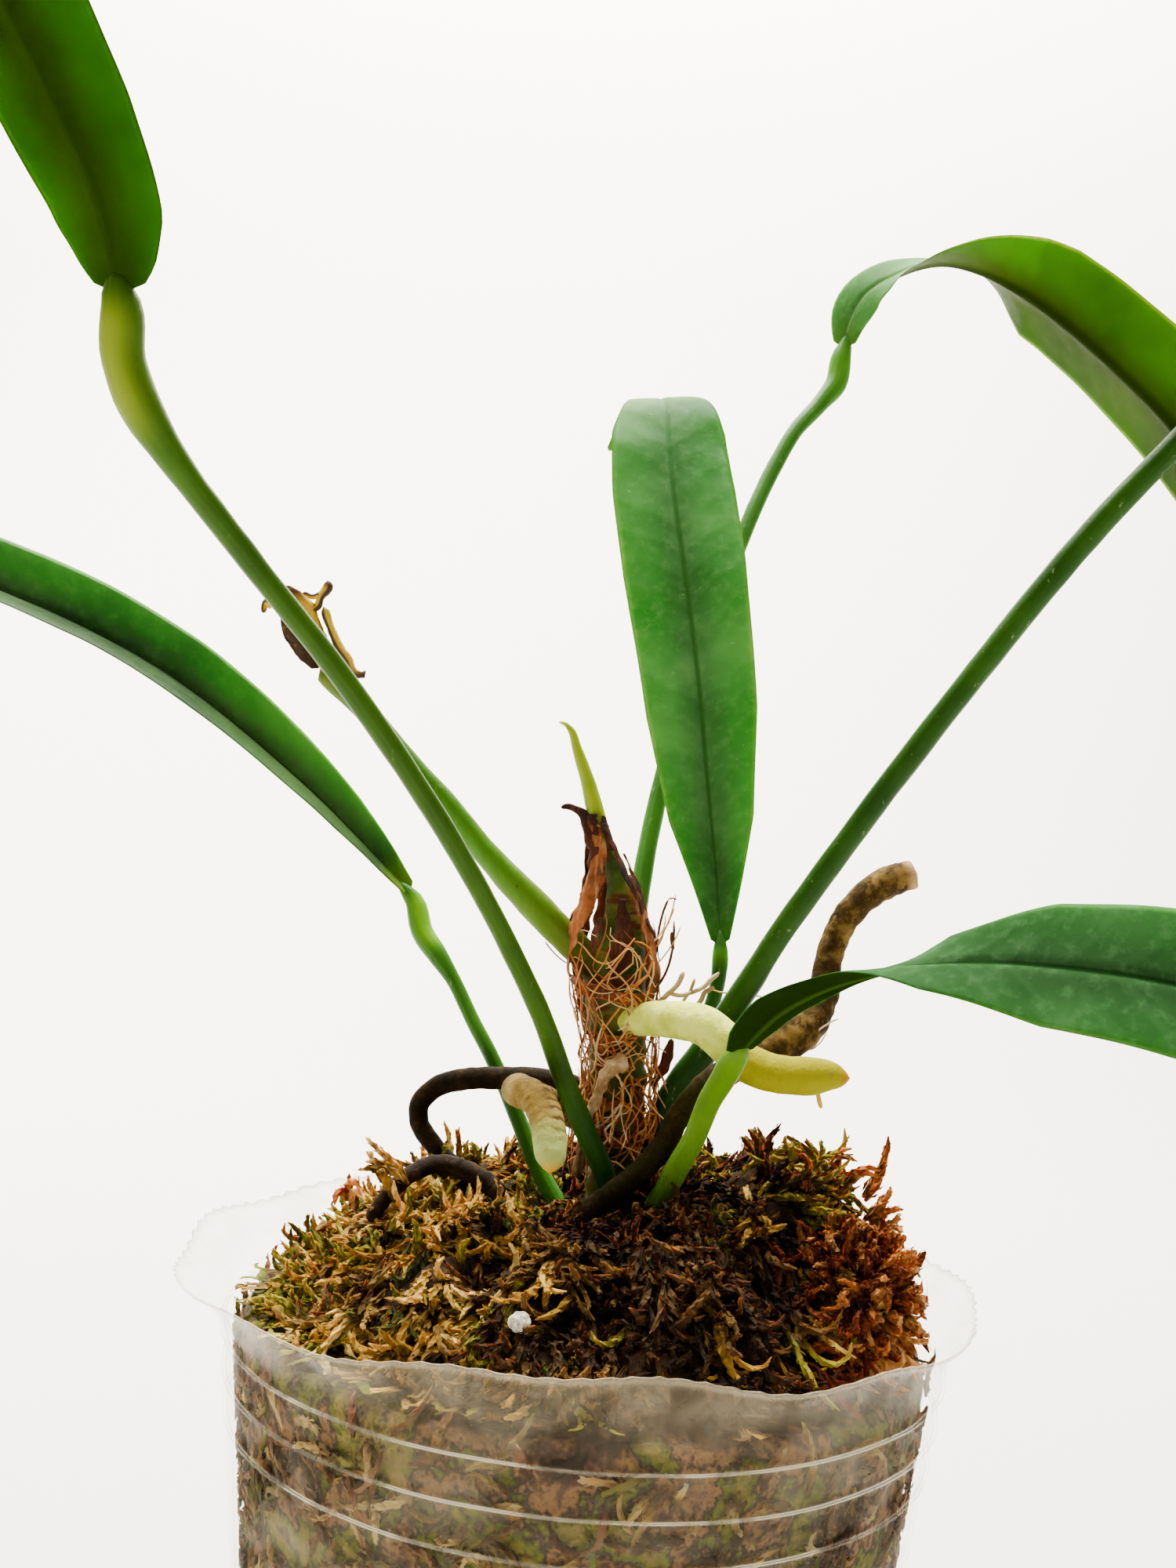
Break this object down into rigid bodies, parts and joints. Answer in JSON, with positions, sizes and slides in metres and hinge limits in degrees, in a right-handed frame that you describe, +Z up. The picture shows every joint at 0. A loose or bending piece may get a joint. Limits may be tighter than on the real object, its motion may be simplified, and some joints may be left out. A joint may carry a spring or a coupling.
{
  "type": "potted anthurium",
  "caption": "Strap-leaved anthurium with arching folded leaves, aerial roots and a dry sheath, in moss in a clear flared nursery pot.",
  "frame": {"origin": "centre of the pot's flat base face, on the surface that it stands on", "axes": "+Z up along the pot's axis, +X to the right and +Y to the back as seen from the front"},
  "size_m": [0.2971, 0.1441, 0.2647],
  "materials": {
    "clear_plastic": "gloss",
    "moss": "matte",
    "moss_brown": "matte",
    "perlite": "matte",
    "leaf_green": "satin",
    "leaf_olive": "satin",
    "stalk_green": "satin",
    "stalk_lime": "satin",
    "leaf_withered": "matte",
    "sheath_dry": "matte",
    "scale_dry": "matte",
    "root_pale": "matte",
    "root_brown": "matte",
    "root_dark": "matte"
  },
  "bodies": {
    "root": {"nursery_pot": "clear_plastic", "moss_plug": "moss", "moss_wad": "moss_brown", "perlite_granule": "perlite", "stem": "stalk_green", "stem_sheath": "sheath_dry", "new_shoot": "stalk_lime", "broken_stalk": "stalk_green", "withered_blade": "leaf_withered", "dried_scale": "scale_dry", "root_pale_right": "root_pale", "root_pale_left": "root_pale", "root_brown_loop": "root_brown", "root_brown_long": "root_brown", "root_black_left": "root_dark", "stalk_tall_left": "stalk_green", "blade_tall_left": "leaf_olive", "stalk_low_left": "stalk_green", "blade_low_left": "leaf_green", "stalk_centre": "stalk_green", "blade_centre": "leaf_green", "stalk_back_right": "stalk_green", "blade_back_right": "leaf_olive", "stalk_right": "stalk_green", "blade_right": "leaf_green", "stalk_front_right": "stalk_lime", "blade_front_right": "leaf_green"}
  },
  "joints": []
}
